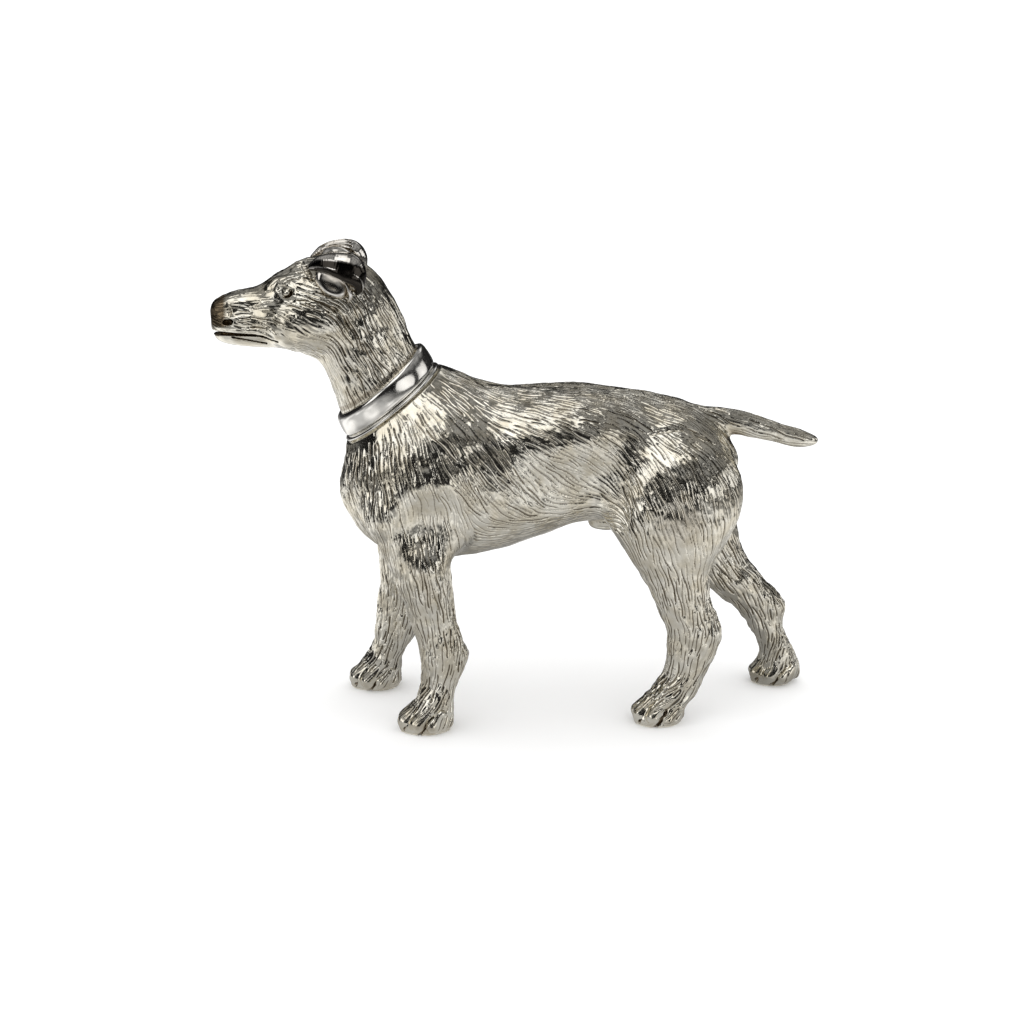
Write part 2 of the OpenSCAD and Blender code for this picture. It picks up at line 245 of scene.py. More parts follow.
def smooth_rows(rows, steps):
    """Catmull-Rom curve through whole rows of numbers."""
    rows = np.array(rows, float)
    ends = np.vstack([rows[:1], rows, rows[-1:]])
    out = [
        curve(ends[i], ends[i + 1], ends[i + 2], ends[i + 3], k / steps)
        for i in range(len(rows) - 1)
        for k in range(steps)
    ]
    return np.array(out + [rows[-1]])


def loft(ribs):
    """Points, side quads and end triangles of a closed skin through ribs."""
    around, steps = 72, 6
    rows = smooth_rows(ribs, steps)
    turn = np.arange(around) * 2 * math.pi / around
    c, s = np.cos(turn), np.sin(turn)
    x = (rows[:, 0:1] + rows[:, 2:3]) / 2 + (rows[:, 2:3] - rows[:, 0:1]) / 2 * c
    z = (rows[:, 1:2] + rows[:, 3:4]) / 2 + (rows[:, 3:4] - rows[:, 1:2]) / 2 * c
    y = rows[:, 4:5] + rows[:, 5:6] * s
    points = np.stack([x, y, z], -1).reshape(-1, 3)
    n, m = around, len(rows)
    i, k = np.meshgrid(np.arange(m - 1), np.arange(n), indexing="ij")
    nxt = (k + 1) % n
    quads = np.stack([i * n + k, i * n + nxt, (i + 1) * n + nxt, (i + 1) * n + k], -1).reshape(-1, 4)
    fan = np.arange(1, n - 1)
    start = np.stack([0 * fan, fan + 1, fan], -1)
    end = np.stack([0 * fan, fan, fan + 1], -1) + (m - 1) * n
    return points, quads, np.vstack([start, end])


def add_loft(field, ribs, blend):
    """Joins a loft to the field."""
    points, quads, caps = loft(ribs)
    band = min(FAR, blend * 1.3 + 1.0)
    grid = vdb.FloatGrid.createLevelSetFromPolygons(
        points.astype(np.float32),
        triangles=caps.astype(np.uint32),
        quads=quads.astype(np.uint32),
        transform=vdb.createLinearTransform(voxelSize=field.step),
        halfWidth=band / field.step,
    )
    where, _, _, _ = field.part(points.min(0) - band, points.max(0) + band)
    start = [int(where[i].start + field.first[i]) for i in range(3)]
    near = np.empty(field.values[where].shape, np.float32)
    grid.copyToArray(near, ijk=tuple(start))
    field.values[where] = join_smooth(field.values[where], near, blend)


def ellipsoid(x, y, z, middle, radii, lean=0.0):
    """Distance to an ellipsoid, near enough at its surface; lean turns it in the side view, degrees."""
    c, s = math.cos(math.radians(lean)), math.sin(math.radians(lean))
    u, v, w = x - middle[0], y - middle[1], z - middle[2]
    u, w = u * c + w * s, w * c - u * s
    k0 = np.sqrt((u / radii[0]) ** 2 + (v / radii[1]) ** 2 + (w / radii[2]) ** 2)
    k1 = np.sqrt((u / radii[0] ** 2) ** 2 + (v / radii[1] ** 2) ** 2 + (w / radii[2] ** 2) ** 2)
    return k0 * (k0 - 1) / np.maximum(k1, 1e-6)


def tube(x, y, z, path):
    """Distance to a bar with round ends through [x, y, z, radius] rows."""
    out = None
    for a, b in zip(path[:-1], path[1:]):
        a, b = np.array(a, float), np.array(b, float)
        d = b[:3] - a[:3]
        t = ((x - a[0]) * d[0] + (y - a[1]) * d[1] + (z - a[2]) * d[2]) / (d @ d)
        t = np.clip(t, 0, 1)
        dist = np.sqrt((x - a[0] - t * d[0]) ** 2 + (y - a[1] - t * d[1]) ** 2 + (z - a[2] - t * d[2]) ** 2)
        dist = dist - (a[3] + t * (b[3] - a[3]))
        out = dist if out is None else np.minimum(out, dist)
    return out


def swell(field, middle, radii, blend, lean=0.0, both=False):
    """Joins an ellipsoid to the field, on both sides of the dog if both is true."""
    work_on(field, middle, radii, blend, lean, both, join_smooth)


def hollow(field, middle, radii, blend, lean=0.0, both=False):
    """Cuts an ellipsoid out of the field."""
    work_on(field, middle, radii, blend, lean, both, cut_smooth)


def work_on(field, middle, radii, blend, lean, both, change):
    reach = max(radii) + blend + 1
    for side in ((-1, 1) if both else (1,)):
        m = np.array([middle[0], middle[1] * side, middle[2]])
        where, x, y, z = field.part(m - reach, m + reach)
        field.values[where] = change(field.values[where], ellipsoid(x, y, z, m, radii, lean), blend)


def mesh_of(field):
    """Surface points in mm and triangles."""
    grid = vdb.FloatGrid()
    grid.background = FAR
    grid.copyFromArray(field.values, ijk=tuple(int(v) for v in field.first))
    points, quads = grid.convertToQuads(isovalue=0.0)
    points = points.astype(np.float64) * field.step
    quads = quads.astype(np.int64)
    a, b = points[quads[:, 0]] - points[quads[:, 2]], points[quads[:, 1]] - points[quads[:, 3]]
    other = np.einsum("ij,ij->i", a, a) > np.einsum("ij,ij->i", b, b)
    quads[other] = np.roll(quads[other], 1, axis=1)
    tris = np.vstack([quads[:, [0, 1, 2]], quads[:, [0, 2, 3]]])
    normal = np.cross(points[tris[:, 1]] - points[tris[:, 0]], points[tris[:, 2]] - points[tris[:, 0]])
    outward = field.slope(points[tris[:1000]].mean(1))
    if np.einsum("ij,ij->i", normal[:1000], outward).sum() < 0:
        tris = tris[:, ::-1]
    return points, tris


# ---- the sculpt
def ridge(field, path, blend, both=False):
    """Joins a round-ended bar to the field, [x, y, z, radius] rows."""
    bar_on(field, path, blend, both, join_smooth)


def furrow(field, path, blend, both=False):
    """Cuts a round-ended bar out of the field."""
    bar_on(field, path, blend, both, cut_smooth)


def bar_on(field, path, blend, both, change):
    for side in ((-1, 1) if both else (1,)):
        rows = np.array(path, float) * [1, side, 1, 1]
        reach = rows[:, 3].max() + blend + 1
        where, x, y, z = field.part(rows[:, :3].min(0) - reach, rows[:, :3].max(0) + reach)
        field.values[where] = change(field.values[where], tube(x, y, z, rows), blend)


def sculpt_dog():
    dog = Field(LOW, HIGH, STEP)
    add_loft(dog, TORSO, 1.0)
    for ribs in LEGS:
        add_loft(dog, ribs, 2.6)
    add_loft(dog, TAIL, 1.4)
    add_loft(dog, HEAD, 1.0)
    sculpt_body(dog)
    sculpt_head(dog)
    for ribs in LEGS:
        sculpt_paw(dog, ribs)
    where, x, y, z = dog.part([-60, -20, -2], [60, 20, 1])
    dog.values[where] = np.maximum(dog.values[where], -z)
    return dog


def sculpt_body(dog):
    hollow(dog, (9.0, 13.2, 40.0), (8.0, 3.4, 6.0), 4.0, lean=-20, both=True)  # flank
    swell(dog, (7.0, 6.0, 48.6), (11.0, 5.0, 4.6), 4.0, lean=3, both=True)  # loin
    arm = [[-21.6, 8.8, 36.0, 3.5], [-15.0, 9.7, 39.6, 4.2], [-8.5, 8.8, 43.6, 3.2]]
    ridge(dog, arm, 2.0, both=True)  # upper arm
    swell(dog, (-13.0, 7.6, 49.6), (3.6, 3.2, 4.6), 1.6, lean=20, both=True)  # shoulder blade
    swell(dog, (25.6, 9.3, 36.4), (8.2, 4.9, 10.0), 2.5, lean=0, both=True)  # thigh
    furrow(dog, [[16.5, 13.0, 46.0, 0.8], [14.2, 13.6, 39.0, 1.4], [15.0, 13.2, 33.0, 1.0]], 2.0, both=True)
    swell(dog, (15.2, 0, 32.2), (3.6, 1.5, 1.7), 1.0, lean=8)  # sheath
    hollow(dog, (36.4, 3.4, 41.0), (1.3, 1.2, 2.4), 0.6, both=True)  # hollow of the rump
    for side in (-1, 1):  # crease above the thigh
        crease = [[20.5, 48.9, 0.12], [24.0, 49.5, 0.3], [28.0, 49.0, 0.34], [31.6, 46.8, 0.15]]
        furrow(dog, laid(dog, crease, side), 0.5)
    # Fore legs: the waist above the elbow, the fold behind it, the forearm and the pad of the wrist
    hollow(dog, (-14.4, -15.3, 35.2), (5.6, 3.2, 5.0), 3.0, lean=-20)
    hollow(dog, (-16.4, 15.3, 35.2), (5.6, 3.2, 5.0), 3.0, lean=-20)
    furrow(dog, [[-6.0, -13.0, 34.0, 0.6], [-9.0, -13.4, 29.5, 1.0], [-9.5, -12.0, 26.0, 0.6]], 1.5)
    swell(dog, (-15.6, -10.5, 25.4), (4.0, 3.8, 6.4), 1.5, lean=10)
    swell(dog, (-18.6, 10.5, 25.4), (4.0, 3.8, 6.4), 1.5, lean=5)
    swell(dog, (-9.8, -10.0, 12.6), (1.3, 1.5, 1.7), 0.8)
    swell(dog, (-16.6, 10.1, 12.6), (1.3, 1.5, 1.7), 0.8)


def engrave(field, low, high, across, depth):
    """Cuts where across(x, y, z) is negative, down to a depth below the surface."""
    where, x, y, z = field.part(low, high)
    here = field.values[where]
    field.values[where] = np.maximum(here, -np.maximum(across(x, y, z), -(here + depth)))


def laid(field, path, side=-1, rise=0.0):
    """A bar along the side of the head: [x, z, radius] rows, laid on the surface as it stands."""
    out = []
    for x, z, r in smooth_rows(path, 4):
        y = np.linspace(0.2, 14, 277)
        inside = field.sample(np.stack([np.full_like(y, x), side * y, np.full_like(y, z)], -1)) < 0
        edge = y[inside].max() if inside.any() else 0.2
        out.append([x, side * (edge + rise), z, r])
    return out


def sculpt_head(dog):
    hollow(dog, (-41.2, 5.8, 70.8), (3.4, 1.8, 1.7), 1.8, lean=22, both=True)  # plane before the eye
    swell(dog, (-45.0, 1.2, 69.6), (4.2, 1.8, 1.3), 1.0, lean=12, both=True)  # top of the muzzle
    swell(dog, (-34.6, 4.7, 66.6), (4.6, 2.7, 3.8), 2.6, lean=15, both=True)  # cheek
    swell(dog, (-44.6, 2.3, 66.6), (3.4, 1.7, 1.5), 1.0, lean=0, both=True)  # upper lip
    for side in (-1, 1):
        sculpt_eye(dog, side)
        # Long cuts from the brow to below the ear, and the edge of the ruff
        for drop, size in ((0.0, 0.24), (0.85, 0.2), (1.6, 0.2)):
            path = [[-35.2, 73.2 - drop, 0.12], [-32.0, 72.3 - drop, size], [-28.6, 70.6 - drop, 0.12]]
            furrow(dog, laid(dog, path, side), 0.25)
        edge = [[-29.6, 69.6, 0.15], [-28.6, 68.5, 0.34], [-27.2, 66.8, 0.34], [-25.8, 65.0, 0.15]]
        furrow(dog, laid(dog, edge, side), 0.5)
        crest = [[-30.6, 68.6, 0.2], [-29.6, 67.4, 0.4], [-28.2, 65.8, 0.4], [-27.0, 64.4, 0.2]]
        ridge(dog, laid(dog, crest, side, -0.15), 0.7)
        lip = [[-48.2, 65.9, 0.2], [-45.0, 65.6, 0.32], [-41.6, 65.3, 0.32], [-39.4, 64.5, 0.2]]
        ridge(dog, laid(dog, lip, side, -0.1), 0.4)
        furrow(dog, laid(dog, [[-46.5, 69.6, 0.08], [-46.1, 68.6, 0.18], [-46.2, 67.7, 0.1]], side), 0.3)
        furrow(dog, laid(dog, [[-34.6, 76.0, 0.2], [-33.6, 74.8, 0.35], [-33.0, 73.6, 0.2]], side), 0.4)
    swell(dog, (-47.7, 0, 68.3), (1.7, 2.4, 1.8), 0.3)  # nose leather
    hollow(dog, (-46.4, 3.1, 66.8), (1.0, 1.1, 0.55), 0.2, lean=8, both=True)  # nostril
    furrow(dog, [[-49.4, 0, 68.2, 0.12], [-49.2, 0, 66.0, 0.12]], 0.1)
    engrave(dog, (-50, -8, 61), (-38.6, 8, 67), mouth_slot, 1.1)
    engrave(dog, (-46, -8, 61), (-40.4, 8, 66), jaw_line, 0.4)


def mouth_slot(x, y, z):
    """Negative inside the mouth, which narrows to its corner."""
    middle = 64.75 - 0.02 * (x + 48.4) - 0.6 / (1 + np.exp(-(x + 40.3) * 2.0))
    half = np.clip(0.38 - 0.036 * (x + 48.4), 0.14, 0.38)
    return np.abs(z - middle) - half + 0 * y


def jaw_line(x, y, z):
    """Negative inside the crease of the lower lip."""
    return np.abs(z - 63.85 + 0.17 * (x + 44.0)) - 0.15 + 0 * y


def sculpt_eye(dog, side):
    """Brow, socket, ball and lids."""
    brow = [[-39.8, 72.2, 0.35], [-38.4, 73.0, 0.65], [-36.8, 73.5, 0.65], [-35.2, 73.0, 0.4]]
    ridge(dog, laid(dog, brow, side, -0.25), 0.9)
    at = laid(dog, [[-36.9, 71.7, 0.1], [-36.8, 71.7, 0.1]], side)[0][1]
    hollow(dog, (-36.9, at, 71.75), (1.5, 0.5, 0.95), 0.5, lean=-12)
    swell(dog, (-36.9, at - side * 0.5, 71.7), (0.72, 0.8, 0.68), 0.2)
    upper = [[-38.7, 72.0, 0.15], [-38.0, 72.8, 0.26], [-36.8, 72.95, 0.3], [-35.7, 72.2, 0.28]]
    upper += [[-35.1, 71.4, 0.15]]
    lower = [[-38.5, 71.8, 0.15], [-37.7, 70.85, 0.24], [-36.5, 70.55, 0.26], [-35.4, 70.95, 0.15]]
    ridge(dog, laid(dog, upper, side, -0.08), 0.45)
    ridge(dog, laid(dog, lower, side, -0.12), 0.45)


def sculpt_paw(dog, ribs):
    """Four toes that fan out over the front of a paw, and a pad on each side."""
    front, middle, half = ribs[-3][0], ribs[-3][4], ribs[-3][5]
    for place, back, high in ((-0.8, 2.0, 1.6), (-0.27, 0.1, 1.7), (0.27, 0.1, 1.7), (0.8, 2.0, 1.6)):
        y = middle + place * half
        above = middle + 0.6 * place * half
        toe = [
            [front + back + 4.2, above, 5.0, 0.5],
            [front + back + 2.6, 0.6 * y + 0.4 * above, 3.7, 1.0],
            [front + back + 0.9, y, high, 1.3],
        ]
        ridge(dog, toe, 0.3)
    for side in (-1, 1):
        y = middle + 0.84 * side * half
        ridge(dog, [[front + 6.8, y, 3.4, 0.6], [front + 5.2, y, 1.5, 1.15]], 0.3)
    for place, back in ((-0.94, 3.9), (-0.56, 1.1), (0.0, 0.2), (0.56, 1.1), (0.94, 3.9)):
        y = middle + place * half
        cleft = [
            [front + back - 0.7, y * 1.02 - 0.02 * middle, 0.2, 0.3],
            [front + back + 0.9, y, 2.4, 0.27],
            [front + back + 3.0, middle + 0.75 * place * half, 4.4, 0.15],
        ]
        furrow(dog, cleft, 0.12)


# ---- fur
FLOW = [
    # x, |y|, z, and the way the hair lies there
    [-47, 2, 67, 1.0, 0.0, -0.1],
    [-42, 4, 66, 1.0, 0.0, -0.15],
    [-38, 3, 75, 0.8, 0.3, 0.5],
    [-34, 6, 73, 1.0, 0.0, -0.25],
    [-35, 6, 66, 0.9, 0.1, -0.45],
    [-30, 3, 77, 1.0, 0.2, -0.1],
    [-31, 6, 60, 0.45, 0.0, -0.9],
    [-25, 7, 66, 0.45, 0.0, -0.9],
    [-20, 5, 68, 0.5, 0.0, -0.86],
    [-22, 7, 58, 0.55, 0.0, -0.85],
    [-28, 5, 53, 0.3, 0.0, -0.95],
    [-26, 8, 44, 0.25, 0.1, -0.95],
    [-28, 3, 38, 0.3, 0.2, -0.95],
    [-18, 11, 44, 0.25, 0.0, -1.0],
    [-10, 9, 53, 0.6, 0.2, -0.7],
    [-16, 12, 34, 0.1, 0.0, -1.0],
    [-6, 12, 45, 0.55, 0.0, -0.85],
    [0, 8, 53, 0.9, 0.3, -0.3],
    [0, 12, 42, 0.7, 0.0, -0.7],
    [0, 8, 31, 0.95, 0.0, -0.1],
    [12, 10, 44, 0.75, 0.0, -0.65],
    [12, 6, 53, 1.0, 0.15, -0.2],
    [12, 7, 34, 1.0, 0.0, 0.2],
    [20, 11, 44, 0.6, 0.0, -0.8],
    [26, 11, 38, 0.25, 0.0, -0.95],
    [28, 5, 51, 0.9, 0.2, -0.4],
    [33, 8, 44, 0.5, 0.0, -0.85],
    [36, 3, 40, 0.2, 0.0, -1.0],
    [22, 12, 30, 0.3, 0.0, -0.95],
    [30, 9, 28, 0.0, 0.0, -1.0],
    [26, 9, 20, 0.25, 0.0, -1.0],
    [28, 9, 12, -0.25, 0.0, -1.0],
    [24, 9, 4, -0.8, 0.0, -0.6],
    [38, 9, 22, 0.7, 0.0, -0.7],
    [44, 9, 14, 0.3, 0.0, -0.95],
    [45, 9, 5, -0.3, 0.0, -0.95],
    [40, 1, 48, 1.0, 0.0, -0.3],
    [47, 1, 46, 1.0, 0.0, -0.2],
    [-15, 10, 22, 0.2, 0.0, -1.0],
    [-13, 10, 12, -0.05, 0.0, -1.0],
    [-16, 11, 4, -0.6, 0.0, -0.8],
    [-20, 10, 22, -0.05, 0.0, -1.0],
    [-21, 10, 10, -0.2, 0.0, -1.0],
    [-26, 10, 3, -0.7, 0.0, -0.7],
]

STROKES_PER_MM2 = 5.0  # candidates, of which few find room
STROKE_STEP = 0.12  # mm between two points of a stroke
LONGEST = 8.0
STROKE_GAP = 0.39
STROKE_DEPTH = 0.13
STROKE_HALF_WIDTH = 0.15
FULL_GROOVE = 0.15  # depth at which a cut holds its full patina, mm
TUFTS, TUFT_HEIGHT, TUFT_HALF_WIDTH = 8000, 0.15, 0.5
SCRATCHES, SCRATCH_HALF_WIDTH = 7000, 0.16
NEIGHBOURS = [(i - 1, j - 1, k - 1) for i, j, k in np.ndindex(3, 3, 3)]


def fade(amount, width=1.0):
    """0 up to an amount of 0, and 1 from an amount of a width on."""
    return np.clip(amount / width, 0, 1)


def above_neck_seam(x, z):
    (x0, _, z0), (ux, _, uz) = NECK_SEAM
    return (x - x0) * ux + (z - z0) * uz


def hair_way(points):
    """The direction of the hair at points, before it is laid on the surface."""
    rows = np.array(FLOW, float)
    where = points.copy()
    where[:, 1] = np.abs(where[:, 1])
    way = np.zeros_like(points)
    total = np.zeros((len(points), 1))
    for row in rows:
        d2 = ((where - row[:3]) ** 2).sum(1, keepdims=True)
        w = 1 / (d2 + 2.0) ** 2
        way += w * row[3:]
        total += w
    way /= total
    way[:, 1] *= np.sign(points[:, 1])
    return way


def value_noise(points, size, seed):
    """Smooth noise from -1 to 1 with features of a given size, mm."""
    rng = np.random.default_rng(seed)
    n = 64
    table = rng.uniform(-1, 1, (n, n, n)).astype(np.float32)
    g = points / size + 1000.5
    base = np.floor(g).astype(int)
    t = g - base
    t = t * t * (3 - 2 * t)
    out = np.zeros(len(points))
    for corner in range(8):
        o = np.array([(corner >> i) & 1 for i in range(3)])
        w = np.prod(np.where(o, t, 1 - t), axis=1)
        i = (base + o) % n
        out += w * table[i[:, 0], i[:, 1], i[:, 2]]
    return out


def toes_of(points, ribs):
    """How plain the toes of one paw are."""
    front, middle, half = ribs[-3][0], ribs[-3][4], ribs[-3][5]
    ahead = fade(4.6 - np.abs(points[:, 0] - front - 1.0), 1.5)
    own = np.abs(points[:, 1] - middle) < 2 * half
    return 0.75 * (ahead * own) * fade(4.2 - points[:, 2], 1.5)


def plainness(points):
    """0 where the fur is fully cut, 1 where the silver is left smooth."""
    x, y, z = points[:, 0], np.abs(points[:, 1]), points[:, 2]
    collar = fade(1.4 - np.abs(above_neck_seam(x, z) - 2.0) / 2.6)
    belly = fade(34 - z, 4) * fade(1 - np.abs(x - 2) / 14) * fade(9 - y, 3)
    sole = fade(1.0 - z, 0.6)
    eye = fade(1.6 - np.sqrt((x + 36.9) ** 2 + (y - 5.2) ** 2 + (z - 71.7) ** 2) / 1.5)
    nose = 0.5 * fade(-46.2 - x, 0.8)
    face = 0.5 * fade(-35.5 - x, 2) * fade(z - 67.6, 1.5)
    cheek = 0.55 * fade(1.5 - np.hypot(x + 34.5, z - 66) / 3.2)
    jaw = 0.9 * fade(-36 - x, 2) * fade(65.6 - z, 0.4)
    throat = 0.5 * fade(-27.5 - x, 1.5) * fade(62 - z, 2) * fade(z - 48, 2)
    toes = [toes_of(points, ribs) for ribs in LEGS]
    return fade(np.maximum.reduce([collar, belly, sole, eye, nose, face, cheek, jaw, throat] + toes))


def trace_strokes(dog, points, tris, rng):
    """Candidate strokes of the graver: rows of points on the surface, and how many each stroke uses."""
    a, b, c = (points[tris[:, i]] for i in range(3))
    area = np.linalg.norm(np.cross(b - a, c - a), axis=1) / 2
    count = int(area.sum() * STROKES_PER_MM2)
    pick = rng.choice(len(tris), count, p=area / area.sum())
    u = rng.random((count, 2))
    u[u.sum(1) > 1] = 1 - u[u.sum(1) > 1]
    p = a[pick] + (b - a)[pick] * u[:, :1] + (c - a)[pick] * u[:, 1:]
    p = p[rng.random(count) > plainness(p) * 1.05]
    leg = fade(27 - p[:, 2], 4)
    head = fade(-32 - p[:, 0], 4) * (p[:, 2] > 58)
    length = rng.uniform(2.0, LONGEST, len(p)) * (1 - 0.3 * leg) * (1 - 0.6 * head)
    turn = rng.normal(0, 0.08, len(p))
    wave = rng.uniform(0, 2 * math.pi, len(p))
    rows = []
    for k in range(int(LONGEST / STROKE_STEP)):
        n = dog.slope(p)
        way = hair_way(p)
        way -= n * np.einsum("ij,ij->i", way, n)[:, None]
        way /= np.maximum(np.linalg.norm(way, axis=1, keepdims=True), 1e-6)
        side = np.cross(n, way)
        bend = turn + 0.13 * np.sin(wave + k * STROKE_STEP * 1.3)
        p = p + STROKE_STEP * (way * np.cos(bend)[:, None] + side * np.sin(bend)[:, None])
        p = p - n * dog.sample(p)[:, None]
        rows.append(p)
    used = (length / STROKE_STEP).astype(int)
    order = np.argsort(-length + rng.uniform(0, 2.5, len(p)), kind="stable")
    return np.stack(rows, 1)[order], used[order]


def is_near(taken, cell, point, gap):
    """Whether a point already taken lies within a gap of this one."""
    a, b, c = cell
    for i, j, k in NEIGHBOURS:
        other = taken.get((a + i, b + j, c + k))
        if other is not None and ((other - point) ** 2).sum() < gap * gap:
            return True
    return False


def choose_strokes(rows, used, gap):
    """Keeps strokes that stay clear of those already kept, in a fixed order."""
    taken, kept = {}, []
    for i in range(len(rows)):
        line = rows[i, : used[i] : 3]
        if len(line) < 5:
            continue
        cells = [tuple(cell) for cell in np.floor(line / gap).astype(int).tolist()]
        close = sum(is_near(taken, cell, point, gap) for cell, point in zip(cells, line))
        if close <= len(line) * 0.1:
            kept.append(i)
            taken.update(zip(cells, line))
    return kept


def groove_depths(points, samples, depth, width):
    """Depth of the deepest groove over each point; samples carry a depth and a half width."""
    cell = float(width.max())
    low = np.minimum(points.min(0), samples.min(0)) - 2 * cell
    size = (np.maximum(points.max(0), samples.max(0)) - low) / cell + 3
    nx, ny = int(size[0]) + 1, int(size[1]) + 1

    def key_of(cells):
        return cells[:, 0] + nx * (cells[:, 1] + ny * cells[:, 2])

    own = key_of(np.floor((points - low) / cell).astype(np.int64))
    order = np.argsort(own, kind="stable")
    keys = own[order]
    cells = np.floor((samples - low) / cell).astype(np.int64)
    out = np.zeros(len(points))
    for shift in NEIGHBOURS:
        k = key_of(cells + np.array(shift))
        first = np.searchsorted(keys, k, "left")
        count = np.searchsorted(keys, k, "right") - first
        which = np.repeat(np.arange(len(samples)), count)
        offset = np.arange(len(which)) - np.repeat(np.cumsum(count) - count, count)
        at = order[first[which] + offset]
        d = np.sqrt(((points[at] - samples[which]) ** 2).sum(1)) / width[which]
        near = d < 1
        at, which, d = at[near], which[near], d[near]
        np.maximum.at(out, at, depth[which] * (1 - d * d) ** 1.5)
    return out


def chase_strokes(points, rows, used, rng):
    """Depth of the strokes that make the pattern of the fur, bolder on the legs and the neck."""
    samples, depth, width = [], [], []
    for i in choose_strokes(rows, used, STROKE_GAP):
        along = (np.arange(used[i]) + 0.5) / used[i]
        shape = np.minimum(1, 3.2 * np.sin(math.pi * along) ** 0.8)
        samples.append(rows[i, : used[i]])
        depth.append(STROKE_DEPTH * rng.uniform(0.75, 1.25) * shape)
        width.append(STROKE_HALF_WIDTH * (0.6 + 0.4 * shape) * rng.uniform(0.8, 1.3))
    samples, depth, width = np.vstack(samples), np.concatenate(depth), np.concatenate(width)
    bold = fade(np.maximum((29 - samples[:, 2]) / 4, (-21 - samples[:, 0]) / 4))
    depth *= (1 - plainness(samples)) * (1 + 0.25 * bold)
    return groove_depths(points, samples, depth, width * (1 + 0.15 * bold))


def raise_tufts(points, rows, used, rng):
    """Height of the locks between the strokes, higher on the legs and the neck."""
    pick = rng.choice(len(rows), min(len(rows), TUFTS), replace=False)
    crest = np.vstack([rows[i, : used[i]] for i in pick])
    arch = [TUFT_HEIGHT * np.sin(math.pi * (np.arange(used[i]) + 0.5) / used[i]) for i in pick]
    high = np.concatenate(arch) * (1 - plainness(crest))
    high *= 0.45 + 0.8 * fade(np.maximum((28 - crest[:, 2]) / 5, (-22 - crest[:, 0]) / 4))
    return groove_depths(points, crest, high, np.full(len(crest), TUFT_HALF_WIDTH))


def scratch_fine(points, rows, used, rng):
    """Depth of the faint lines under the pattern."""
    pick = rng.choice(len(rows), min(len(rows), SCRATCHES), replace=False)
    line = np.vstack([rows[i, : used[i]] for i in pick])
    fine = np.concatenate([np.full(used[i], rng.uniform(0.01, 0.04)) for i in pick])
    fine *= 1 - 0.8 * plainness(line)
    return groove_depths(points, line, fine, np.full(len(line), SCRATCH_HALF_WIDTH))


def tooled(points):
    """Rough spots where the castings were worked over: at the elbow, below the collar, on the thigh."""
    where = points * [1, 0, 1] + [[0, 1, 0]] * np.abs(points[:, 1:2])
    knots = 0.12 * value_noise(points * [1, 1, 0.6], 1.9, 11) + 0.012 * value_noise(points, 0.5, 12)
    out = np.zeros(len(points))
    for spot, reach in (((-15.0, 13.2, 33.0), 7.5), ((-21.5, 9.5, 47.5), 2.8), ((26.0, 13.0, 22.5), 4.6)):
        out += knots * fade(1.25 - np.linalg.norm(where - spot, axis=1) / reach)
    return out


def uneven(points):
    """How far the modelled skin rises and falls by itself, more on the legs, mm."""
    leg = fade(30 - points[:, 2], 6)
    out = 0.17 * value_noise(points, 3.4, 5) + 0.08 * value_noise(points, 1.6, 3)
    out *= 1 + 0.9 * leg
    out += 0.025 * value_noise(points, 0.7, 4) + tooled(points)
    return out + leg * 0.11 * value_noise(points * [1, 1, 0.4], 1.1, 14)


def cut_fur(dog, points, tris):
    """The skin with its fur cut, and how deep each point lies in a cut and in a fold."""
    rng = np.random.default_rng(7)
    rows, used = trace_strokes(dog, points, tris, rng)
    cut = chase_strokes(points, rows, used, rng)
    lift = raise_tufts(points, rows, used, rng)
    fine = scratch_fine(points, rows, used, rng)
    n = vertex_normals(points, tris)
    rough = 1 - 0.6 * plainness(points)
    moved = points + n * (uneven(points) * rough + lift - cut - fine)[:, None]
    flat = points[:, 2] < 0.02
    moved[flat, 2] = points[flat, 2]
    hidden = np.zeros(len(points))
    for reach in (0.6, 1.5, 3.0):
        hidden = np.maximum(hidden, 1 - dog.sample(points + n * reach) / reach)
    return moved, cut / FULL_GROOVE, fade(hidden)


def patina(points, hidden):
    """How dark the silver has gone: in folds, on the nose and in the eye sockets."""
    x, y, z = points[:, 0], np.abs(points[:, 1]), points[:, 2]
    nose = fade(-46.3 - x) * fade(z - 65.6, 0.5)
    nostril = fade(1.5 - np.sqrt((x + 46.9) ** 2 + (z - 66.7) ** 2 * 2.2) / 0.9) * (y > 1)
    by_collar = np.clip(1.2 - np.abs(above_neck_seam(x, z) - 5.2) / 0.5, 0, 0.6)
    return fade(np.maximum.reduce([hidden * 0.9, nose * 0.9, nostril, by_collar]))


def vertex_normals(points, tris):
    face = np.cross(points[tris[:, 1]] - points[tris[:, 0]], points[tris[:, 2]] - points[tris[:, 0]])
    out = np.zeros_like(points)
    for i in range(3):
        for axis in range(3):
            out[:, axis] += np.bincount(tris[:, i], face[:, axis], len(points))
    return out / np.maximum(np.linalg.norm(out, axis=1, keepdims=True), 1e-12)


# ---- parting along the seams
def edges_of(tris):
    return np.vstack([tris[:, [0, 1]], tris[:, [1, 2]], tris[:, [2, 0]]])


def snap_to_seam(points, normals, tris, faces, seam):
    """Slides points along the skin onto a seam plane until no triangle of a set crosses it."""
    origin, normal = (np.array(v, float) for v in seam)
    normal /= np.linalg.norm(normal)
    for _ in range(6):
        d = (points - origin) @ normal
        e = edges_of(tris[faces])
        e = e[d[e[:, 0]] * d[e[:, 1]] < 0]
        if not len(e):
            break
        nearer = np.unique(np.where(np.abs(d[e[:, 0]]) < np.abs(d[e[:, 1]]), e[:, 0], e[:, 1]))
        own = normals[nearer]
        along = normal - own * (own @ normal)[:, None]
        share = along @ normal
        steep = share < 0.25
        along[steep], share[steep] = normal, 1
        points[nearer] -= (d[nearer] / share)[:, None] * along
    d = (points - origin) @ normal
    d[np.abs(d) < 1e-7] = 0
    return d


